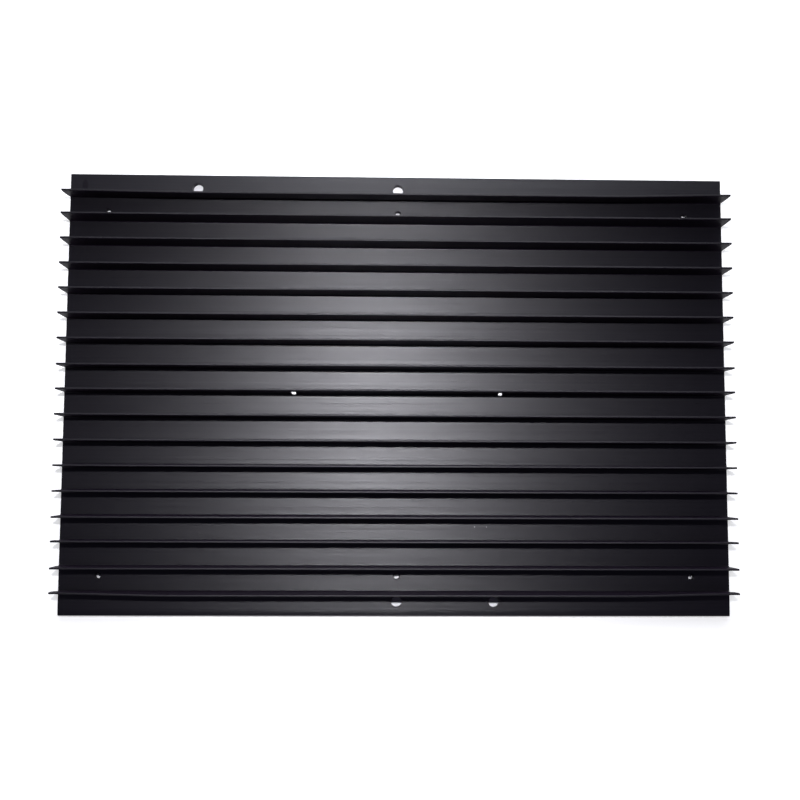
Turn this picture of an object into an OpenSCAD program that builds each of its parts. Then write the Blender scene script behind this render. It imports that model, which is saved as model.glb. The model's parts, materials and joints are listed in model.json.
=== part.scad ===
// Heat sink: one extruded aluminium plate with a row of thin cooling fins, black anodised and drilled.
// It lies on its flat back. X runs along the fins, Y across them and Z up through the fins.
// The far side is +Y and the near side is -Y. Sizes are in millimetres.

/* [Plate] */
// Length of the plate, along the fins
plate_l = 300; // [200:1:450]
// Width of the plate, across the fins
plate_w = 200; // [120:1:300]
// Thickness of the plate between the fins
plate_t = 3; // [2:0.1:6]
// Rounding of the front edges along the two long sides
edge_r = 0.5; // [0.2:0.1:1]
// Width of the strip along the near side over which the front face falls away
near_run = 3.4; // [2:0.1:5]
// Depth to which it falls at the near side
near_fall = 0.3; // [0.1:0.05:0.6]

/* [Fins] */
// Distance between the centres of neighbouring fins
fin_pitch = 11.2; // [9:0.1:20]
// Least distance from a long edge of the plate to the centre of the outer fin
fin_margin = 10.4; // [9:0.1:16]
// Height of the fins above the plate
fin_h = 13; // [9:0.5:40]
// Thickness of a fin at its foot
fin_foot_t = 1; // [0.8:0.02:2]
// Thickness of a fin at its tip
fin_tip_t = 0.84; // [0.5:0.02:1.5]
// Radius of the fillets at the foot of a fin
fin_foot_r = 0.6; // [0.3:0.1:1.2]
// Size of the broken edges along a fin's tip
fin_tip_break = 0.12; // [0.04:0.02:0.2]

/* [Bent fins] */
// Sideways lean of the far outer fin's tip along its middle, positive towards the far side
far_lean = -1.35; // [-2.5:0.05:2.5]
// Lean of the far outer fin's tip at its left end
far_lean_left = -0.85; // [-2.5:0.05:2.5]
// Lean of the far outer fin's tip at its right end
far_lean_right = -0.35; // [-2.5:0.05:2.5]
// Lean of the near outer fin's tip at its two ends, towards its neighbour
near_end_lean = 1; // [0:0.05:2.5]
// Lean of the second fin from the near side, all along its length
second_lean = 0.3; // [-2.5:0.05:2.5]
// Lean of the third fin from the near side, all along its length
third_lean = 0.65; // [-2.5:0.05:2.5]
// Lean of the fin beside the middle one, on its far side, all along its length
beside_lean = -0.35; // [-2.5:0.05:2.5]
// Length of each end of an outer fin over which its lean changes
bend_run = 55; // [20:1:90]

/* [Screw holes] */
// Diameter of the small screw holes
screw_d = 2.5; // [1.6:0.1:4]
// Diameter of the light countersink at the front of the small screw holes
screw_sink_d = 3.1; // [2.6:0.1:5]
// Distance from a short end of the plate to the corner screw holes
screw_end = 17.25; // [8:0.25:60]
// Distance from the second fin's centre out to the row of screw holes beside it
screw_off = 4.1; // [3.4:0.1:5]
// Distance between the two screw holes under the middle fin
middle_pitch = 93.5; // [40:0.5:180]
// Height above the plate to which those two holes run up into the middle fin
middle_rise = 6; // [1:0.5:8]

/* [Clearance holes] */
// Diameter of the clearance holes in the margins
clear_d = 4.8; // [3:0.1:6]
// Distance from the outer fin's centre out to the clearance holes
clear_off = 4.1; // [3.6:0.1:6]
// Distance between the clearance holes in the far margin, from the middle to the left
far_clear_pitch = 92; // [30:0.5:180]
// Distance between the clearance holes in the near margin, from the middle to the right
near_clear_pitch = 43.7; // [30:0.1:180]

/* [Hidden] */
$fn = 48;

// Slack that keeps a whole number of pitches whole
count_slack = 0.001;
// Fins counted from the far side, and those that are named
fin_count = 1 + floor((plate_w - 2 * fin_margin) / fin_pitch + count_slack);
far_fin = 0;
near_fin = fin_count - 1;
second_fin = fin_count - 2;
third_fin = fin_count - 3;
middle_fin = floor((fin_count - 1) / 2);
beside_fin = middle_fin - 1;

// How far a cut or a fin's foot runs past the face that it starts from
overlap = 0.5;
// How far a fillet reaches into the fin's foot beside it
tuck = fin_foot_t / 4;
// Angle at the point of a drill, which is left at the end of a blind hole
drill_angle = 118;
// Heights at which a bent fin's section has points, and stations along each of its bent ends
bend_levels = 4;
bend_stations = 8;

anodised_black = [0.07, 0.07, 0.075];

// Place of a fin's centre across the plate
function fin_y(i) = ((fin_count - 1) / 2 - i) * fin_pitch;

// Smooth step from 0 to 1
function ease(t) = let (u = min(max(t, 0), 1)) u * u * (3 - 2 * u);

// Lean of a fin's tip at x, from its leans at the left end, along the middle and at the right end
function tip_lean(x, leans) =
    let (into_bend = (abs(x) - plate_l / 2 + bend_run) / bend_run)
    let (end_lean = x < 0 ? leans[0] : leans[2])
    leans[1] + (end_lean - leans[1]) * ease(into_bend);

// Lean of a fin whose lean is the same all along its length
function even_lean(i) =
    i == second_fin ? second_lean : i == third_fin ? third_lean : i == beside_fin ? beside_lean : 0;

// Half the thickness of a fin at a share t of the height from its foot to its tip
function half_t(t) = (fin_foot_t + (fin_tip_t - fin_foot_t) * t) / 2;

// Sideways shift of a leaning fin at a share t of its height: it bends most near its foot
function shift_at(t, lean) = lean * t * (2 - t);

// One side of a fin's blade above its fillets, from foot to tip, as points across and up
function blade_side(side, lean, levels) = concat(
    [for (k = [0:levels])
        let (t = k / levels)
        let (z = fin_foot_r + (fin_h - fin_tip_break - fin_foot_r) * t)
        [side * half_t(t) + shift_at(t, lean), z]],
    [[side * (fin_tip_t / 2 - fin_tip_break) + lean, fin_h]]);

// Section of a blade, anticlockwise
function blade_section(lean, levels) =
    let (left = blade_side(-1, lean, levels))
    concat(blade_side(1, lean, levels), [for (k = [len(left) - 1:-1:0]) left[k]]);

// Stations along a bent fin, close together over its bent ends
function bend_places() =
    let (half = [for (k = [0:bend_stations]) plate_l / 2 - bend_run * k / bend_stations])
    concat([for (x = half) -x], [for (k = [bend_stations:-1:0]) half[k]]);

// Round for the corner of an outer edge, which is cut away from the square corner at the origin
module edge_cut(r) {
    difference() {
        translate([-r, -r]) square(r + overlap);
        translate([-r, -r]) circle(r);
    }
}

// Falling edge, cut away from the square corner at the origin: a flat round that ends in a small one
module falling_edge_cut(run, fall, r) {
    flat_r = (run * run + fall * fall) / (2 * fall);
    small_y = sqrt((flat_r - r) * (flat_r - r) - (run - r) * (run - r)) - flat_r;
    touch_x = (run - r) * flat_r / (flat_r - r) - run;
    difference() {
        translate([-run, -fall]) square([run + overlap, fall + overlap]);
        translate([-run, -flat_r]) circle(flat_r);
    }
    difference() {
        translate([touch_x, small_y]) square([overlap - touch_x, overlap - small_y]);
        translate([-r, small_y]) circle(r);
    }
}

// Fillet that fills the corner between the axes
module corner_fillet(r) {
    difference() {
        translate([-tuck, -overlap]) square([r + tuck, r + overlap]);
        translate([r, r]) circle(r);
    }
}

// Foot of a fin with a fillet on each side, standing on the plate's front face
module fin_foot() {
    translate([-fin_foot_t / 2, -overlap]) square([fin_foot_t, fin_foot_r + overlap]);
    for (side = [0, 1]) {
        mirror([side, 0]) translate([fin_foot_t / 2, 0]) corner_fillet(fin_foot_r);
    }
}

// Section of the plate with all the fins' feet and the straight fins
module extruded_section() {
    difference() {
        translate([-plate_w / 2, 0]) square([plate_w, plate_t]);
        translate([plate_w / 2, plate_t]) edge_cut(edge_r);
        mirror([1, 0]) translate([plate_w / 2, plate_t]) falling_edge_cut(near_run, near_fall, edge_r);
    }
    for (i = [0:fin_count - 1]) {
        translate([fin_y(i), plate_t]) fin_foot();
    }
    for (i = [far_fin + 1:near_fin - 1]) {
        levels = even_lean(i) == 0 ? 1 : bend_levels;
        translate([fin_y(i), plate_t]) polygon(blade_section(even_lean(i), levels));
    }
}

// A fin whose lean changes along its length, swept through its own sections
module bent_fin(i, leans) {
    places = bend_places();
    sections = [for (x = places) blade_section(tip_lean(x, leans), bend_levels)];
    count = len(sections[0]);
    last = len(places) - 1;
    points = [for (k = [0:last]) for (p = sections[k]) [places[k], p[0], p[1]]];
    walls = [for (k = [0:last - 1]) for (j = [0:count - 1])
        let (a = k * count + j, b = k * count + (j + 1) % count)
        each [[a, a + count, b], [b, a + count, b + count]]];
    ends = [[for (j = [0:count - 1]) j], [for (j = [count - 1:-1:0]) last * count + j]];
    translate([0, fin_y(i), plate_t]) polyhedron(points, concat(walls, ends));
}

// Straight hole through the plate
module plate_hole(d) {
    translate([0, 0, -overlap]) cylinder(d = d, h = plate_t + 2 * overlap);
}

// Small screw hole with its light 90 degree countersink at the front
module screw_hole() {
    sink = (screw_sink_d - screw_d) / 2;
    plate_hole(screw_d);
    translate([0, 0, plate_t - sink]) cylinder(d1 = screw_d, d2 = screw_sink_d, h = sink);
    translate([0, 0, plate_t]) cylinder(d = screw_sink_d, h = overlap);
}

// Blind screw hole drilled from the back, through the plate and up into the middle fin
module middle_hole() {
    top = plate_t + middle_rise;
    translate([0, 0, -overlap]) cylinder(d = screw_d, h = top + overlap);
    translate([0, 0, top]) cylinder(d1 = screw_d, d2 = 0, h = screw_d / 2 / tan(drill_angle / 2));
}

module all_holes() {
    screw_x = plate_l / 2 - screw_end;
    for (x = [-screw_x, 0, screw_x], y = [fin_y(far_fin + 1) + screw_off, fin_y(near_fin - 1) - screw_off]) {
        translate([x, y, 0]) screw_hole();
    }
    for (side = [-1, 1]) {
        translate([side * middle_pitch / 2, fin_y(middle_fin), 0]) middle_hole();
    }
    for (x = [-far_clear_pitch, 0]) {
        translate([x, fin_y(far_fin) + clear_off, 0]) plate_hole(clear_d);
    }
    for (x = [0, near_clear_pitch]) {
        translate([x, fin_y(near_fin) - clear_off, 0]) plate_hole(clear_d);
    }
}

module heat_sink() {
    color(anodised_black) difference() {
        union() {
            rotate([90, 0, 90]) linear_extrude(plate_l, center = true) extruded_section();
            bent_fin(far_fin, [far_lean_left, far_lean, far_lean_right]);
            bent_fin(near_fin, [near_end_lean, 0, near_end_lean]);
        }
        all_holes();
    }
}

heat_sink();
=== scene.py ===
"""Finishes the heat sink: one black anodised aluminium extrusion, drilled, tapped and slightly bent.

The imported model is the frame. One mesh stands for its one solid, with rounded edges, cut threads and a
worn satin finish, and a table, two lamps and a camera show it from above.
"""

import json
import logging
import math
from collections.abc import Iterable, Mapping, Sequence
from dataclasses import dataclass, field
from enum import Enum
from typing import Any, ClassVar, Final

import bmesh
import bpy
from bmesh.types import BMEdge, BMesh, BMFace, BMVert
from mathutils import Matrix, Vector


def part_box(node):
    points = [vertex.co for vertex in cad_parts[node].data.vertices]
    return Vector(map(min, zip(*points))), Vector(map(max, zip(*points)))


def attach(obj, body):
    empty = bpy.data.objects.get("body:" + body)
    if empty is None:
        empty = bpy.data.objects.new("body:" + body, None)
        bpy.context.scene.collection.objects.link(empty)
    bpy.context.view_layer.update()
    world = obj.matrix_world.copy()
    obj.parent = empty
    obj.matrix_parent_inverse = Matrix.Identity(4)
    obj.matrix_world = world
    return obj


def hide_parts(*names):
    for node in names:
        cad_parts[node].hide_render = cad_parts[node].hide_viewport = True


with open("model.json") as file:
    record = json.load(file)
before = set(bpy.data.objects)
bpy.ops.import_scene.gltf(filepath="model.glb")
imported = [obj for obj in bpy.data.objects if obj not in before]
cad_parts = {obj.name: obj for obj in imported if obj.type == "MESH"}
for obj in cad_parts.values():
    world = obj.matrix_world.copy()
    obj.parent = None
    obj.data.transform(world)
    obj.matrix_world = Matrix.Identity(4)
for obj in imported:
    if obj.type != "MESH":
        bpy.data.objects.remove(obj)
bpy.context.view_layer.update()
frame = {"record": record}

LOG: Final = logging.getLogger("heat_sink")
MM: Final = 0.001
TINY: Final = 0.001 * MM
NODE_NAME: Final = "heat_sink"
BODY_NAME: Final = "root"

Colour = tuple[float, float, float]
Point = tuple[float, float, float]
Span = tuple[float, float]


def ease(t: float) -> float:
    """Smooth step from 0 to 1."""
    u = min(max(t, 0.0), 1.0)
    return u * u * (3.0 - 2.0 * u)


def rgba(colour: Colour) -> tuple[float, float, float, float]:
    """The colour with full opacity, as sockets take it."""
    return (*colour, 1.0)


class Value:
    """A shader socket that takes part in arithmetic: an expression on values adds Math nodes."""

    def __init__(self, net: "Net", socket: bpy.types.NodeSocket | None) -> None:
        """Wraps one output socket of a network."""
        self.net = net
        self.socket = socket

    def out(self, name: str) -> "Value":
        """Another output of the same node."""
        return Value(self.net, self.socket.node.outputs[name])

    def math(self, operation: str, *terms: "Value | float") -> "Value":
        """The result of a Math node on these terms."""
        return self.net.node("ShaderNodeMath", {"operation": operation}, dict(enumerate(terms)))

    def __add__(self, other: "Value | float") -> "Value":
        """Sum."""
        return self.math("ADD", self, other)

    def __radd__(self, other: float) -> "Value":
        """Sum with a number on the left."""
        return self.math("ADD", other, self)

    def __sub__(self, other: "Value | float") -> "Value":
        """Difference."""
        return self.math("SUBTRACT", self, other)

    def __rsub__(self, other: float) -> "Value":
        """Difference from a number on the left."""
        return self.math("SUBTRACT", other, self)

    def __mul__(self, other: "Value | float") -> "Value":
        """Product."""
        return self.math("MULTIPLY", self, other)

    def __rmul__(self, other: float) -> "Value":
        """Product with a number on the left."""
        return self.math("MULTIPLY", other, self)

    def __abs__(self) -> "Value":
        """Size without its sign."""
        return self.math("ABSOLUTE", self)

    def larger(self, other: "Value | float") -> "Value":
        """The larger of the two."""
        return self.math("MAXIMUM", self, other)

    def smooth(self, low: float, high: float) -> "Value":
        """0 below low and 1 above high, with a smooth step between them.

        Args:
            low: where the step starts.
            high: where the step ends. It may be under low, which turns the step round.
        Returns:
            The step's value.
        """
        ends = {"From Min": low, "From Max": high}
        if low > high:
            ends = {"From Min": high, "From Max": low, "To Min": 1.0, "To Max": 0.0}
        settings = {"interpolation_type": "SMOOTHSTEP"}
        return self.net.node("ShaderNodeMapRange", settings, {"Value": self, **ends})


class Net:
    """The node network of one material or of the world."""

    COLOUR_MIX: Final = {"data_type": "RGBA"}
    MIX_A: Final = 6
    MIX_B: Final = 7
    MIX_RESULT: Final = 2
    SPOT_CORE: Final = 0.4

    def __init__(self, owner: bpy.types.Material | bpy.types.World) -> None:
        """Starts an empty network in a material or a world.

        Args:
            owner: the material or the world.
        """
        owner.use_nodes = True
        self.tree = owner.node_tree
        self.tree.nodes.clear()

    def node(
        self,
        kind: str,
        settings: Mapping[str, Any] | None = None,
        sockets: Mapping[str | int, Any] | None = None,
        output: str | int = 0,
    ) -> Value:
        """Adds a node.

        Args:
            kind: the node's type.
            settings: its own settings, set first; "stops" gives a ramp's places and colours.
            sockets: the value or the link of each socket, by name or number.
            output: the output that is wanted.
        Returns:
            That output, or an empty value for a node that has none.
        """
        made = self.tree.nodes.new(kind)
        for name, setting in (settings or {}).items():
            if name == "stops":
                self._set_stops(made.color_ramp, setting)
            else:
                setattr(made, name, setting)
        for name, given in (sockets or {}).items():
            if isinstance(given, Value):
                self.tree.links.new(given.socket, made.inputs[name])
            else:
                made.inputs[name].default_value = given
        return Value(self, made.outputs[output] if made.outputs else None)

    @staticmethod
    def _set_stops(ramp: bpy.types.ColorRamp, stops: Sequence[tuple[float, Colour]]) -> None:
        """Gives a colour ramp its stops.

        Args:
            ramp: the ramp.
            stops: places and colours, from left to right.
        """
        while len(ramp.elements) < len(stops):
            ramp.elements.new(1.0)
        for element, (place, colour) in zip(ramp.elements, stops):
            element.position = place
            element.color = rgba(colour)

    def vector(self, operation: str, *terms: Any, output: str | int = 0) -> Value:
        """The result of a Vector Math node on these terms."""
        settings = {"operation": operation}
        return self.node("ShaderNodeVectorMath", settings, dict(enumerate(terms)), output)

    def place_mm(self) -> Value:
        """Object coordinates in millimetres."""
        place = self.node("ShaderNodeTexCoord", output="Object")
        return self.vector("MULTIPLY", place, (1.0 / MM, 1.0 / MM, 1.0 / MM))

    def parts(self, vector: Value) -> tuple[Value, Value, Value]:
        """The three parts of a vector."""
        x = self.node("ShaderNodeSeparateXYZ", sockets={"Vector": vector})
        return x, x.out("Y"), x.out("Z")

    def noise(self, place: Value, per_mm: Point, detail: float = 2.0) -> Value:
        """Noise with its own number of cells for each millimetre along X, Y and Z.

        Args:
            place: coordinates in millimetres.
            per_mm: cells for each millimetre.
            detail: octaves.
        Returns:
            A value about 0.5.
        """
        stretched = self.vector("MULTIPLY", place, per_mm)
        sockets = {"Vector": stretched, "Scale": 1.0, "Detail": detail}
        return self.node("ShaderNodeTexNoise", sockets=sockets)

    def mix_colour(self, share: Value | float, first: Any, second: Any) -> Value:
        """A blend from the first colour to the second."""
        sockets = {0: share, self.MIX_A: first, self.MIX_B: second}
        return self.node("ShaderNodeMix", self.COLOUR_MIX, sockets, self.MIX_RESULT)

    def spot(self, place: Value, centre: Point, reach: Point) -> Value:
        """A soft spot on the surface.

        Args:
            place: coordinates in millimetres.
            centre: the middle of the spot, in millimetres.
            reach: how far the spot goes along X, Y and Z, in millimetres.
        Returns:
            1 in the middle of the spot, and 0 outside it.
        """
        scaled = self.vector("DIVIDE", self.vector("SUBTRACT", place, centre), reach)
        return self.vector("LENGTH", scaled, output="Value").smooth(1.0, self.SPOT_CORE)


@dataclass(frozen=True)
class Spot:
    """A mark on the plate's front face: its middle and its reach along X and Y, in millimetres."""

    x: float
    y: float
    reach_x: float
    reach_y: float


@dataclass(frozen=True)
class AnodisedBlack:
    """Satin black anodised aluminium, with the fine lines that the extrusion's die leaves along it.

    Noise is given in cells for each millimetre, and spots in millimetres.
    """

    half_length: float
    front: float
    height: float
    name: str = "anodised_black"
    colour: Colour = (0.0016, 0.001, 0.003)
    dull_colour: Colour = (0.008, 0.006, 0.01)
    # painted light: the fins' sides get a paler dull colour than the front face, a painted lift of the
    # shade on them
    painted_side_lift: Colour = (0.022, 0.016, 0.027)
    bare_colour: Colour = (0.55, 0.55, 0.54)
    roughness: float = 0.368
    dull_roughness: float = 0.7
    gloss: float = 0.381
    end_facing: Span = (0.6, 0.8)
    side_facing: Span = (0.45, 0.8)
    tip_depths: Span = (0.12 * MM, 0.03 * MM)
    line_cells: Point = (0.002, 8.5, 8.5)
    line_depth: float = 0.0375 * MM
    line_lean: float = 0.0315
    line_filter: float = 0.02
    streak_cells: Point = (0.0004, 1.3, 1.3)
    streak_spread: float = 0.03
    streak_share: float = 0.3
    cloud_cells: Point = (0.03, 0.05, 0.05)
    cloud_spread: float = 0.02
    saw_cells: Point = (0.0, 2.6, 4.2)
    saw_depth: float = 0.01 * MM
    end_roughening: float = 0.06
    tip_roughening: float = 0.133
    side_dullness: float = 0.72
    rub_cells: Point = (0.35, 1.5, 1.5)
    rub_step: Span = (0.70, 0.80)
    rub_shine: float = 0.2
    tip_rub: float = 0.2 * MM
    end_rub: float = 0.15 * MM
    nick_shine: float = 0.42
    nicks: tuple[Spot, ...] = (Spot(35.05, -60.4, 0.32, 0.5), Spot(40.45, -60.4, 0.26, 0.4))
    smudge_dullness: float = 0.5
    smudges: tuple[Spot, ...] = (Spot(-143.4, 94.7, 2.0, 4.0),)

    def material(self) -> bpy.types.Material:
        """Builds the finish.

        Returns:
            The material.
        """
        made = bpy.data.materials.new(self.name)
        net = Net(made)
        place = net.place_mm()
        x, y, z = net.parts(place)
        facing = net.parts(net.node("ShaderNodeTexCoord", output="Normal"))
        end_face = abs(facing[0]).smooth(*self.end_facing)
        side = abs(facing[1]).smooth(*self.side_facing)
        tip = z.smooth(*((self.height - depth) / MM for depth in self.tip_depths))
        streaks = net.noise(place, self.streak_cells)
        clouds = net.noise(place, self.cloud_cells)

        uneven = (streaks - 0.5) * self.streak_spread + (clouds - 0.5) * self.cloud_spread
        rougher = end_face * self.end_roughening + tip * self.tip_roughening
        worn = self._worn(net, place, x, z)
        satin = net.node(
            "ShaderNodeBsdfPrincipled",
            sockets={
                "Base Color": net.mix_colour(worn, rgba(self.colour), rgba(self.bare_colour)),
                "Metallic": worn,
                "Roughness": self.roughness + uneven + rougher,
                "Specular IOR Level": self.gloss,
                "Normal": self._bump(net, place, y, end_face, tip),
            },
        )
        # On the fins' sides this dull share is paler than on the front face: painted light that lifts
        # the shade between the fins; on the front it carries the grain and the smudge
        dull_and_side_lift = net.node(
            "ShaderNodeBsdfPrincipled",
            sockets={
                "Base Color": net.mix_colour(side, rgba(self.dull_colour), rgba(self.painted_side_lift)),
                "Roughness": self.dull_roughness,
                "Specular IOR Level": 0.0,
            },
        )
        smudged = self._spots(net, place, self.smudges) * self.smudge_dullness
        dulled = (side * self.side_dullness).larger(smudged).larger(streaks * self.streak_share)
        surface = net.node("ShaderNodeMixShader", sockets={0: dulled, 1: satin, 2: dull_and_side_lift})
        net.node("ShaderNodeOutputMaterial", sockets={"Surface": surface})
        return made

    def _bump(self, net: Net, place: Value, y: Value, end_face: Value, tip: Value) -> Value:
        """The lines of the die along the fins, the marks of the saw on the ends, and a slight lean.

        Args:
            net: the finish's network.
            place: coordinates in millimetres.
            y: their part across the fins.
            end_face: 1 on the sawn ends.
            tip: 1 on the fins' tips.
        Returns:
            The bumped normal.
        """
        drawn = (1.0 - end_face) * (1.0 - tip)
        lines = net.noise(place, self.line_cells, detail=1.0) * drawn * (self.line_depth / MM)
        sawn = net.noise(place, self.saw_cells) * end_face * (self.saw_depth / MM)
        height = lines + sawn - y * self.line_lean
        sockets = {"Distance": MM, "Filter Width": self.line_filter, "Height": height}
        return net.node("ShaderNodeBump", sockets=sockets)

    def _worn(self, net: Net, place: Value, x: Value, z: Value) -> Value:
        """Where the black is gone: nicks on the plate, and sparse rubs along tips and cut ends.

        Args:
            net: the finish's network.
            place: coordinates in millimetres.
            x: their part along the fins.
            z: their part up the fins.
        Returns:
            1 where bare metal shows.
        """
        tip = z.smooth((self.height - self.tip_rub) / MM, self.height / MM)
        end = abs(x).smooth((self.half_length - self.end_rub) / MM, self.half_length / MM)
        rubbed = net.noise(place, self.rub_cells, detail=4.0).smooth(*self.rub_step)
        nicked = self._spots(net, place, self.nicks) * self.nick_shine
        return (tip.larger(end) * rubbed * self.rub_shine).larger(nicked)

    def _spots(self, net: Net, place: Value, spots: Iterable[Spot]) -> Value:
        """All spots of one kind on the plate's front face.

        Args:
            net: the finish's network.
            place: coordinates in millimetres.
            spots: the spots, at least one.
        Returns:
            1 in the middle of each spot, and 0 outside them.
        """
        front = self.front / MM
        masks = [net.spot(place, (s.x, s.y, front), (s.reach_x, s.reach_y, 1.0)) for s in spots]
        total = masks[0]
        for mask in masks[1:]:
            total = total.larger(mask)
        return total


@dataclass(frozen=True)
class MattWhite:
    """Matt white of the table; a lens or a polished face sees it lifted towards white."""

    name: str
    colour: Colour = (0.92, 0.92, 0.92)
    lift: float = 0.0
    far_lift: float = 0.0
    near_reach: float = 0.14
    far_reach: float = 0.28

    def material(self) -> bpy.types.Material:
        """Builds the finish.

        Returns:
            The material.
        """
        made = bpy.data.materials.new(self.name)
        net = Net(made)
        matt = net.node("ShaderNodeBsdfDiffuse", sockets={"Color": rgba(self.colour)})
        path = net.node("ShaderNodeLightPath", output="Is Camera Ray")
        seen = path.larger(path.out("Is Glossy Ray")).larger(path.out("Is Transmission Ray"))
        away = net.vector("LENGTH", net.place_mm(), output="Value")
        outer = away.smooth(self.near_reach / MM, self.far_reach / MM)
        strength = seen * (outer * (self.far_lift - self.lift) + self.lift)
        glow = net.node("ShaderNodeEmission", sockets={"Strength": strength})
        both = net.node("ShaderNodeAddShader", sockets={0: matt, 1: glow})
        net.node("ShaderNodeOutputMaterial", sockets={"Surface": both})
        return made


class HoleKind(Enum):
    """How a hole was made."""

    TAPPED = "tapped through the plate"
    BLIND = "tapped from the back, up into a fin"
    CLEAR = "drilled through the plate"


@dataclass(frozen=True)
class Hole:
    """One drilled hole, which stands on the plate's back face."""

    kind: HoleKind
    x: float
    y: float
    radius: float


def add_line(bm: BMesh, points: Sequence[Point]) -> list[BMVert | BMEdge]:
    """Adds an open line through the points.

    Args:
        bm: the mesh.
        points: the line's points in order.
    Returns:
        Its vertices and edges.
    """
    verts = [bm.verts.new(p) for p in points]
    edges = [bm.edges.new(pair) for pair in zip(verts, verts[1:])]
    return [*verts, *edges]


def add_rectangle(bm: BMesh, size: Span, middle: Point) -> None:
    """Adds a flat rectangle, one face, to an empty mesh.

    Args:
        bm: the mesh.
        size: the sides along X and Y.
        middle: the middle.
    """
    bmesh.ops.create_grid(bm, x_segments=1, y_segments=1, size=0.5)
    bmesh.ops.scale(bm, vec=(*size, 1.0), verts=bm.verts[:])
    bmesh.ops.translate(bm, vec=middle, verts=bm.verts[:])


def add_object(name: str, bm: BMesh) -> bpy.types.Object:
    """Turns a mesh under construction into an object at the origin.

    Args:
        name: the object's name.
        bm: the mesh, which is freed.
    Returns:
        The object, linked to the scene.
    """
    mesh = bpy.data.meshes.new(name)
    bm.to_mesh(mesh)
    bm.free()
    made = bpy.data.objects.new(name, mesh)
    bpy.context.scene.collection.objects.link(made)
    return made


def whole_of(bm: BMesh) -> list[BMVert | BMEdge | BMFace]:
    """All of a mesh, as operators take it."""
    return bm.verts[:] + bm.edges[:] + bm.faces[:]


def apply_modifiers(piece: bpy.types.Object) -> None:
    """Replaces a piece's mesh with what its modifiers make of it.

    Args:
        piece: the piece, which loses its modifiers.
    """
    bpy.context.view_layer.update()
    graph = bpy.context.evaluated_depsgraph_get()
    made = piece.evaluated_get(graph)
    done = bpy.data.meshes.new_from_object(made, preserve_all_data_layers=True, depsgraph=graph)
    old = piece.data
    piece.modifiers.clear()
    piece.data = done
    bpy.data.meshes.remove(old)


def clean_mesh(piece: bpy.types.Object, reach: float) -> None:
    """Merges a piece's points that all but coincide and takes out what is left without area.

    Args:
        piece: the piece.
        reach: the distance within which points count as one.
    """
    bm = bmesh.new()
    bm.from_mesh(piece.data)
    bmesh.ops.remove_doubles(bm, verts=bm.verts[:], dist=reach)
    bmesh.ops.dissolve_degenerate(bm, dist=reach, edges=bm.edges[:])
    bm.to_mesh(piece.data)
    bm.free()


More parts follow.
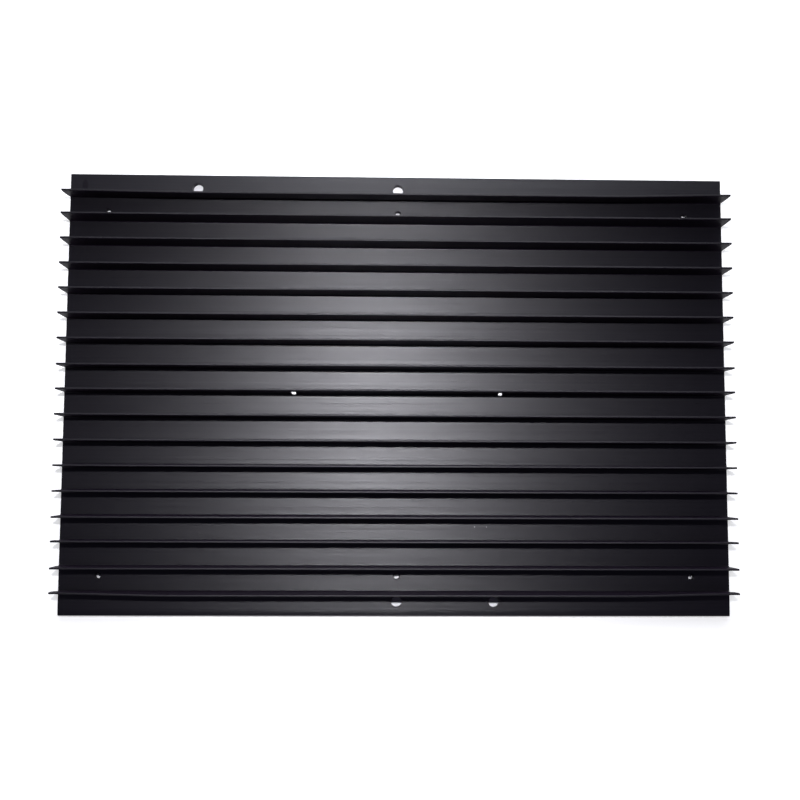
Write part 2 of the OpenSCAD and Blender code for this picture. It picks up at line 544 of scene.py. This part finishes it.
@dataclass
class Drills:
    """The drill and the tap that cut the holes, and what they leave."""

    plate_t: float
    overlap: float = 0.4 * MM
    edge_break: float = 0.1 * MM
    sink_d: float = 3.1 * MM
    blind_rise: float = 6.0 * MM
    point_angle: float = math.radians(118.0)
    facets: int = 48
    pitch: float = 0.5 * MM
    tap_d: float = 3.0 * MM
    tap_facets: int = 24
    tap_inset: float = 0.02 * MM
    blind_stop: float = 0.8 * MM
    crest_share: float = 0.25
    flank_share: float = 0.29
    lead_turns: int = 2
    spare_turns: int = 3

    def drill_shape(self, hole: Hole) -> list[Span]:
        """Half the outline of a drill, from its axis at the back to its axis at the front.

        Args:
            hole: the hole that it cuts.
        Returns:
            Radii and heights.
        """
        r, edge, face, past = hole.radius, self.edge_break, self.plate_t, self.overlap
        back = [(0.0, -past), (r + edge, -past), (r + edge, 0.0), (r, edge)]
        if hole.kind is HoleKind.BLIND:
            top = face + self.blind_rise
            return [*back, (r, top), (0.0, top + r / math.tan(self.point_angle / 2.0))]
        sink = edge if hole.kind is HoleKind.CLEAR else self.sink_d / 2.0 - r
        front = [(r, face - sink), (r + sink, face), (r + sink, face + past), (0.0, face + past)]
        return [*back, *front]

    def add_drill(self, bm: BMesh, hole: Hole) -> None:
        """Adds a drill to a mesh, turned round its axis.

        Args:
            bm: the mesh.
            hole: the hole that it cuts.
        """
        old = set(bm.faces)
        line = add_line(bm, [(r, 0.0, z) for r, z in self.drill_shape(hole)])
        bmesh.ops.spin(bm, geom=line, use_merge=True, **self._full_turn(self.facets))
        self._settle(bm, [f for f in bm.faces if f not in old], hole)

    def add_tap(self, bm: BMesh, hole: Hole) -> None:
        """Adds a tap to a mesh: the thread's outline turned up a helix and cut flat at both ends.

        Args:
            bm: the mesh.
            hole: the hole that it threads.
        """
        past = -self.blind_stop if hole.kind is HoleKind.BLIND else self.overlap
        low, high = -self.overlap, self.plate_t + past
        tap = bmesh.new()
        line = add_line(tap, self._tap_outline(hole, low, high))
        rise = (0.0, 0.0, self.pitch / self.tap_facets)
        bmesh.ops.spin(tap, geom=line, dvec=rise, **self._full_turn(self.tap_facets))
        bmesh.ops.remove_doubles(tap, verts=tap.verts[:], dist=TINY)
        for z, below in ((low, True), (high, False)):
            plane = {"plane_co": (0, 0, z), "plane_no": (0, 0, 1), "dist": TINY / 10.0}
            keep = {"clear_inner": below, "clear_outer": not below}
            bmesh.ops.bisect_plane(tap, geom=whole_of(tap), **plane, **keep)
        bmesh.ops.holes_fill(tap, edges=[e for e in tap.edges if e.is_boundary], sides=0)
        self._settle(tap, tap.faces[:], hole)
        shape = bpy.data.meshes.new("tap")
        tap.to_mesh(shape)
        tap.free()
        bm.from_mesh(shape)
        bpy.data.meshes.remove(shape)

    def _tap_outline(self, hole: Hole, low: float, high: float) -> list[Point]:
        """Half the outline of a tap, with turns to spare past both ends.

        Args:
            hole: the hole that it threads.
            low: the height of the thread's back end.
            high: the height of its front end.
        Returns:
            The outline's points, from the back to the front.
        """
        inner, outer = hole.radius - self.tap_inset, self.tap_d / 2.0
        flank = self.crest_share + self.flank_share
        root_end = 1.0 - self.flank_share
        tooth = [(0.0, inner), (self.crest_share, inner), (flank, outer), (root_end, outer)]
        turns = math.ceil((high - low) / self.pitch) + self.spare_turns
        start = low - self.lead_turns * self.pitch
        heights = [start + turn * self.pitch for turn in range(turns)]
        return [(r, 0.0, z + share * self.pitch) for z in heights for share, r in tooth]

    @staticmethod
    def _full_turn(steps: int) -> dict[str, Any]:
        """One full turn about the upright axis, as spin takes it."""
        return {"cent": (0, 0, 0), "axis": (0, 0, 1), "angle": math.tau, "steps": steps}

    @staticmethod
    def _settle(bm: BMesh, faces: Sequence[BMFace], hole: Hole) -> None:
        """Puts a cutter at its hole, closes its seam and poles and turns it the right way out.

        Args:
            bm: the mesh.
            faces: the cutter's faces.
            hole: the hole that it cuts.
        """
        verts = list({v for f in faces for v in f.verts})
        bmesh.ops.translate(bm, vec=(hole.x, hole.y, 0.0), verts=verts)
        bmesh.ops.remove_doubles(bm, verts=verts, dist=TINY)
        bmesh.ops.recalc_face_normals(bm, faces=[f for f in faces if f.is_valid])


@dataclass(frozen=True)
class Lean:
    """Sideways lean of a bent fin's tip at its left end, along its middle and at its right end."""

    left: float
    middle: float
    right: float

    @classmethod
    def even(cls, lean: float) -> "Lean":
        """The same lean all along."""
        return cls(lean, lean, lean)

    def at(self, x: float, half_length: float, run: float) -> float:
        """The lean at one place along the fin.

        Args:
            x: the place.
            half_length: half the fin's length.
            run: the length of each end over which the lean changes.
        Returns:
            The tip's shift across the plate.
        """
        end = self.left if x < 0.0 else self.right
        return self.middle + (end - self.middle) * ease((abs(x) - half_length + run) / run)


@dataclass
class Fins:
    """The row of fins, counted from the far side of the plate."""

    height: float
    count: int = 17
    pitch: float = 11.2 * MM
    foot_t: float = 1.0 * MM
    tip_t: float = 0.84 * MM
    foot_r: float = 0.6 * MM
    foot_facets: int = 5
    tip_break: float = 0.12 * MM
    tip_round: float = 0.4 * MM
    tip_profile: float = 0.61
    tip_facets: int = 8
    bend_run: float = 55.0 * MM
    bend_levels: int = 6
    bend_stations: int = 10
    leans: dict[int, Lean] = field(
        default_factory=lambda: {
            0: Lean(-0.85 * MM, -1.35 * MM, -0.35 * MM),
            7: Lean.even(-0.35 * MM),
            14: Lean.even(0.65 * MM),
            15: Lean.even(0.3 * MM),
            16: Lean(1.0 * MM, 0.0, 1.0 * MM),
        }
    )

    def place(self, index: int) -> float:
        """Place of a fin's centre across the plate."""
        return ((self.count - 1) / 2.0 - index) * self.pitch

    def nearest(self, y: float) -> int:
        """The fin whose centre is nearest to a place across the plate."""
        return min(range(self.count), key=lambda i: abs(self.place(i) - y))

    def share(self, rise: float) -> float:
        """Share of the way from the foot's rounding to the tip, at a height above the plate."""
        blade = self.height - self.tip_break - self.foot_r
        return min(max((rise - self.foot_r) / blade, 0.0), 1.0)

    def thinned(self, rise: float) -> float:
        """How much thinner than its foot a fin's half is at a height above the plate."""
        return self.share(rise) * (self.foot_t - self.tip_t) / 2.0

    def shift(self, index: int, x: float, rise: float, half_length: float) -> float:
        """Sideways shift of a bent fin, most of it near the foot.

        Args:
            index: the fin.
            x: the place along it.
            rise: the height above the plate.
            half_length: half the fin's length.
        Returns:
            The shift across the plate.
        """
        t = self.share(rise)
        return self.leans[index].at(x, half_length, self.bend_run) * t * (2.0 - t)


@dataclass
class HeatSink:
    """The heat sink: a plate with fins, extruded as one section, sawn, drilled, tapped and anodised."""

    length: float
    width: float
    fins: Fins
    holes: list[Hole]
    name: str = "finned_extrusion"
    plate_t: float = 3.0 * MM
    edge_r: float = 0.5 * MM
    edge_facets: int = 6
    round_profile: float = 0.5
    near_run: float = 3.4 * MM
    near_fall: float = 0.3 * MM
    fall_steps: int = 6
    saw_break: float = 0.06 * MM
    end_facing: float = 0.9
    crease: float = math.radians(35.0)
    face_weight: int = 50

    HOLE_MOUNTS: ClassVar[Mapping[str, HoleKind]] = {
        "corner_screws": HoleKind.TAPPED,
        "mid_edge_screws": HoleKind.TAPPED,
        "middle_screws": HoleKind.BLIND,
        "far_clearance_holes": HoleKind.CLEAR,
        "near_clearance_holes": HoleKind.CLEAR,
    }

    @classmethod
    def from_frame(cls, record: Mapping[str, Any]) -> "HeatSink":
        """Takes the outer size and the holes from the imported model.

        Args:
            record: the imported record.
        Returns:
            The heat sink, not yet built.
        """
        low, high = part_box(NODE_NAME)
        size = high - low
        mounts = cls.HOLE_MOUNTS.items()
        holes = [h for name, kind in mounts for h in cls.mount_holes(record, name, kind)]
        return cls(size.x, size.y, Fins(size.z - cls.plate_t), holes)

    @staticmethod
    def mount_holes(record: Mapping[str, Any], name: str, kind: HoleKind) -> list[Hole]:
        """The holes of one mount.

        Args:
            record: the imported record.
            name: the mount's name.
            kind: how its holes were made.
        Returns:
            Its holes.
        """
        mount = next(m for m in record["mounts"] if m["name"] == name)
        sizes = mount["dims"]
        steps = [sizes.get(f"spacing_{axis}_mm", 0.0) * MM / 2.0 for axis in "xy"]
        along, across = ((-s, s) if s else (0.0,) for s in steps)
        x, y, _ = mount["pos_m"]
        radius = sizes["hole_r_mm"] * MM
        return [Hole(kind, x + dx, y + dy, radius) for dx in along for dy in across]

    @property
    def half(self) -> float:
        """Half the length."""
        return self.length / 2.0

    def build(self) -> bpy.types.Object:
        """Builds the piece and dresses it.

        Returns:
            The object.
        """
        bm = bmesh.new()
        self._draw_section(bm)
        self._round_section(bm)
        self._extrude(bm)
        self._break_sawn_ends(bm)
        self._shape_fins(bm)
        piece = add_object(self.name, bm)
        piece.data.materials.append(self._anodised().material())
        self._cut_holes(piece)
        self._shade(piece)
        return piece

    def _draw_section(self, bm: BMesh) -> None:
        """Draws the section flat as one face, across as X and up as Y, with square corners.

        Args:
            bm: the mesh, which is empty.
        """
        fins = self.fins
        add_rectangle(bm, (self.width, self.plate_t), (0.0, self.plate_t / 2.0, 0.0))
        for index in range(fins.count):
            for side in (-1.0, 1.0):
                self._slice_section(bm, fins.place(index) + side * fins.foot_t / 2.0)
        for index in range(fins.count):
            self._raise_fin(bm, index)
        for step in range(1, self.fall_steps + 1):
            self._slice_section(bm, self.near_run * step / self.fall_steps - self.width / 2.0)
        bmesh.ops.dissolve_faces(bm, faces=bm.faces[:])
        edge = self.width / 2.0 - TINY
        inner = [v for v in bm.verts if v.co.y < TINY and abs(v.co.x) < edge]
        bmesh.ops.dissolve_verts(bm, verts=inner)

    @staticmethod
    def _slice_section(bm: BMesh, across: float) -> None:
        """Cuts the flat section from back to front at one place across it."""
        plane = {"plane_co": (across, 0.0, 0.0), "plane_no": (1, 0, 0), "dist": TINY}
        bmesh.ops.bisect_plane(bm, geom=whole_of(bm), **plane)

    def _raise_fin(self, bm: BMesh, index: int) -> None:
        """Raises one fin of the section from the plate's front, in steps where the fin is bent.

        Args:
            bm: the section's mesh.
            index: the fin.
        """
        fins = self.fins
        middle = Vector((fins.place(index), self.plate_t, 0.0))
        centres = {e: (e.verts[0].co + e.verts[1].co) / 2.0 for e in bm.edges}
        top = next(e for e, centre in centres.items() if (centre - middle).length < TINY)
        steps = fins.bend_levels if index in fins.leans else 1
        for _ in range(steps):
            grown = bmesh.ops.extrude_edge_only(bm, edges=[top])["geom"]
            verts = [g for g in grown if isinstance(g, BMVert)]
            bmesh.ops.translate(bm, vec=(0.0, fins.height / steps, 0.0), verts=verts)
            edges = [g for g in grown if isinstance(g, BMEdge)]
            top = next(e for e in edges if set(e.verts) == set(verts))

    def _round_section(self, bm: BMesh) -> None:
        """Rounds the section's corners: fillets at the feet, crowned tips and the plate's front edges.

        Args:
            bm: the section's mesh.
        """
        fins = self.fins
        edge = self.width / 2.0 - TINY
        front = [v for v in bm.verts if abs(v.co.y - self.plate_t) < TINY]
        feet = [v for v in front if abs(v.co.x) < fins.place(0) + fins.foot_t]
        tips = [v for v in bm.verts if v.co.y > self.plate_t + fins.height - TINY]
        edges = [v for v in front if abs(v.co.x) > edge]
        rounds = (
            (feet, fins.foot_r, fins.foot_facets, self.round_profile),
            (tips, fins.tip_round, fins.tip_facets, fins.tip_profile),
            (edges, self.edge_r, self.edge_facets, self.round_profile),
        )
        for corners, radius, facets, profile in rounds:
            shape = {"affect": "VERTICES", "segments": facets, "profile": profile, "material": -1}
            bmesh.ops.bevel(bm, geom=corners, offset=radius, offset_type="OFFSET", **shape)

    def _stations(self) -> list[float]:
        """Places along the length where the section is repeated, close together where fins bend.

        Returns:
            The places, from left to right.
        """
        end = self.half - self.saw_break - TINY
        count = self.fins.bend_stations
        right = [end - self.fins.bend_run * k / count for k in range(count + 1)]
        return sorted([-x for x in right] + right)

    def _extrude(self, bm: BMesh) -> None:
        """Stands the section up at the left end and extrudes it along X through all stations.

        Args:
            bm: the section's mesh.
        """
        stand_up = Matrix(((0, 0, 1, 0), (1, 0, 0, 0), (0, 1, 0, 0), (0, 0, 0, 1)))
        stations = self._stations()
        bmesh.ops.transform(bm, matrix=stand_up, verts=bm.verts[:])
        bmesh.ops.translate(bm, vec=(stations[0], 0.0, 0.0), verts=bm.verts[:])
        bm.faces.ensure_lookup_table()
        first = front = bm.faces[0]
        for here, there in zip(stations, stations[1:]):
            grown = bmesh.ops.extrude_face_region(bm, geom=[front])["geom"]
            verts = [g for g in grown if isinstance(g, BMVert)]
            bmesh.ops.translate(bm, vec=(there - here, 0.0, 0.0), verts=verts)
            if front is not first:
                bmesh.ops.delete(bm, geom=[front], context="FACES_ONLY")
            front = next(g for g in grown if isinstance(g, BMFace))
        bmesh.ops.recalc_face_normals(bm, faces=bm.faces[:])

    def _break_sawn_ends(self, bm: BMesh) -> None:
        """Gives the sawn ends their narrow broken edge.

        Args:
            bm: the extruded mesh.
        """
        ends = [f for f in bm.faces if abs(f.normal.x) > self.end_facing]
        size = {"thickness": self.saw_break, "depth": self.saw_break}
        bmesh.ops.inset_region(bm, faces=ends, use_boundary=True, use_even_offset=True, **size)

    def _shape_fins(self, bm: BMesh) -> None:
        """Thins the fins towards their tips, bends those that lean and lets the near edge fall.

        Args:
            bm: the extruded mesh.
        """
        fins = self.fins
        for vert in bm.verts:
            rise = vert.co.z - self.plate_t
            if vert.co.z > self.plate_t / 2.0:
                vert.co.z -= self._fall(vert.co.y)
            if rise <= fins.foot_r:
                continue
            index = fins.nearest(vert.co.y)
            side = math.copysign(1.0, vert.co.y - fins.place(index))
            vert.co.y -= side * fins.thinned(rise)
            if index in fins.leans:
                vert.co.y += fins.shift(index, vert.co.x, rise, self.half)

    def _fall(self, y: float) -> float:
        """How far the front face has fallen away on the flat round along the near side.

        Args:
            y: the place across the plate.
        Returns:
            The fall below the flat face.
        """
        into = max(self.near_run - self.width / 2.0 - y, 0.0)
        radius = (self.near_run**2 + self.near_fall**2) / (2.0 * self.near_fall)
        return radius - math.sqrt(radius**2 - into**2)

    def _cut_holes(self, piece: bpy.types.Object) -> None:
        """Drills the holes, then taps the threaded ones.

        Args:
            piece: the piece, which has its material.
        """
        drills = Drills(self.plate_t)
        drilled, tapped = bmesh.new(), bmesh.new()
        for hole in self.holes:
            drills.add_drill(drilled, hole)
            if hole.kind is not HoleKind.CLEAR:
                drills.add_tap(tapped, hole)
        cutters = [add_object("drills", drilled), add_object("taps", tapped)]
        for cutter in cutters:
            cutter.data.materials.append(piece.data.materials[0])
            cut = piece.modifiers.new(cutter.name, "BOOLEAN")
            cut.operation = "DIFFERENCE"
            cut.solver = "EXACT"
            cut.object = cutter
        apply_modifiers(piece)
        for cutter in cutters:
            mesh = cutter.data
            bpy.data.objects.remove(cutter)
            bpy.data.meshes.remove(mesh)
        clean_mesh(piece, TINY)

    def _anodised(self) -> AnodisedBlack:
        """The black finish, which knows where the tips and the ends are."""
        return AnodisedBlack(self.half, self.plate_t, self.plate_t + self.fins.height)

    def _shade(self, piece: bpy.types.Object) -> None:
        """Shades the roundings smooth and keeps the flat faces flat and the sharp edges sharp.

        Args:
            piece: the piece.
        """
        piece.data.shade_smooth()
        piece.data.set_sharp_from_angle(angle=self.crease)
        weighted = piece.modifiers.new("weighted", "WEIGHTED_NORMAL")
        weighted.mode = "FACE_AREA"
        weighted.weight = self.face_weight
        weighted.keep_sharp = True
        apply_modifiers(piece)


@dataclass(frozen=True)
class Lamp:
    """A flat lamp that shines towards a point."""

    name: str
    place: Point
    aim: Point
    size: Span
    power: float
    colour: Colour
    spread: float = math.pi

    def hang(self) -> bpy.types.Object:
        """Hangs the lamp.

        Returns:
            The lamp's object.
        """
        light = bpy.data.lights.new(self.name, "AREA")
        light.shape = "RECTANGLE"
        light.size, light.size_y = self.size
        light.energy = self.power
        light.spread = self.spread
        light.color = self.colour
        made = bpy.data.objects.new(self.name, light)
        made.location = self.place
        towards = Vector(self.aim) - Vector(self.place)
        made.rotation_euler = towards.to_track_quat("-Z", "Y").to_euler()
        bpy.context.scene.collection.objects.link(made)
        return made


@dataclass(frozen=True)
class Room:
    """The room around the table: pale walls at the horizon and a dark ceiling.

    The camera sees it white. Matt surfaces take a smaller share of its light than glossy ones.
    """

    wall: Colour = (0.8, 0.8, 0.8)
    cornice: Colour = (0.25, 0.23, 0.28)
    ceiling: Colour = (0.115, 0.107, 0.177)
    seen: Colour = (1.0, 1.0, 1.0)
    wall_top: float = 0.15
    cornice_height: float = 0.5
    ceiling_edge: float = 0.8
    matt_share: float = 0.2

    def fill(self) -> None:
        """Sets the scene's world."""
        world = bpy.data.worlds.new("room")
        bpy.context.scene.world = world
        net = Net(world)
        _, _, up = net.parts(net.node("ShaderNodeTexCoord", output="Generated"))
        stops = [
            (0.0, self.wall),
            (self.wall_top, self.wall),
            (self.cornice_height, self.cornice),
            (self.ceiling_edge, self.ceiling),
        ]
        shade = net.node("ShaderNodeValToRGB", {"stops": stops}, {"Fac": up})
        camera = net.node("ShaderNodeLightPath", output="Is Camera Ray")
        colour = net.mix_colour(camera, shade, rgba(self.seen))
        strength = 1.0 - camera.out("Is Diffuse Ray") * (1.0 - self.matt_share)
        light = net.node("ShaderNodeBackground", sockets={"Color": colour, "Strength": strength})
        net.node("ShaderNodeOutputWorld", sockets={"Surface": light})


@dataclass(frozen=True)
class Table:
    """A wide white table top, and the white card that lies under the plate."""

    width: float = 6.0
    card_margin: float = 2.0 * MM
    card_drop: float = 0.1 * MM
    top_drop: float = 0.2 * MM
    lift: float = 0.45
    far_lift: float = 0.95

    def lay(self, plate_length: float, plate_width: float) -> None:
        """Lays the table top and the card.

        Args:
            plate_length: the length of what lies on the card.
            plate_width: the width of what lies on the card.
        """
        trim = 2.0 * self.card_margin
        white = MattWhite("white_table", lift=self.lift, far_lift=self.far_lift)
        self._sheet("table_top", (self.width, self.width), self.top_drop, white)
        card = (plate_length - trim, plate_width - trim)
        self._sheet("white_card", card, self.card_drop, MattWhite("white_card"))

    @staticmethod
    def _sheet(name: str, size: Span, drop: float, finish: MattWhite) -> None:
        """Lays one flat sheet under the part.

        Args:
            name: the sheet's name.
            size: its length and width.
            drop: how far under the part's back it lies.
            finish: its finish.
        """
        bm = bmesh.new()
        add_rectangle(bm, size, (0.0, 0.0, -drop))
        sheet = add_object(name, bm)
        sheet.data.materials.append(finish.material())
        LOG.info("sheet %s", name)


@dataclass(frozen=True)
class OverheadCamera:
    """The camera over the table, a little nearer than the part's middle and nearly square to it."""

    place: Point = (-8.695 * MM, -38.432 * MM, 440.299 * MM)
    turn: Point = (0.080162, -0.022844, 0.004055)
    lens: float = 43.518
    sensor: float = 36.0
    clip_start: float = 0.01

    def set_up(self) -> bpy.types.Object:
        """Makes the scene's camera.

        Returns:
            The camera's object.
        """
        data = bpy.data.cameras.new("overhead")
        data.lens = self.lens
        data.sensor_width = self.sensor
        data.clip_start = self.clip_start
        made = bpy.data.objects.new("overhead", data)
        made.rotation_mode = "ZXY"
        made.rotation_euler = self.turn
        made.location = self.place
        bpy.context.scene.collection.objects.link(made)
        bpy.context.scene.camera = made
        return made


LAMPS: Final = (
    Lamp(
        name="key",
        place=(-13.7 * MM, 60.0 * MM, 536.0 * MM),
        aim=(-9.7 * MM, 6.4 * MM, 0.0),
        size=(0.04, 0.018),
        power=0.29,
        colour=(1.0, 0.996, 1.06),
        spread=math.radians(48.0),
    ),
    Lamp(
        name="far_fill",
        place=(0.045, 0.86, 0.92),
        aim=(0.0, 0.0, 0.0),
        size=(0.6, 0.35),
        power=7.8,
        colour=(0.96, 1.0, 1.06),
    ),
)


def main() -> None:
    """Builds the heat sink, puts it on the table and lights it."""
    logging.basicConfig(level=logging.INFO, format="%(name)s: %(message)s")
    bpy.context.scene.view_settings.view_transform = "Standard"
    sink = HeatSink.from_frame(frame["record"])
    piece = sink.build()
    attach(piece, BODY_NAME)
    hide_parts(NODE_NAME)
    LOG.info("%s: %d faces, %d holes", piece.name, len(piece.data.polygons), len(sink.holes))
    Table().lay(sink.length, sink.width)
    Room().fill()
    for lamp in LAMPS:
        LOG.info("lamp %s", lamp.hang().name)
    LOG.info("camera %s", OverheadCamera().set_up().name)


if __name__ == "__main__":
    main()
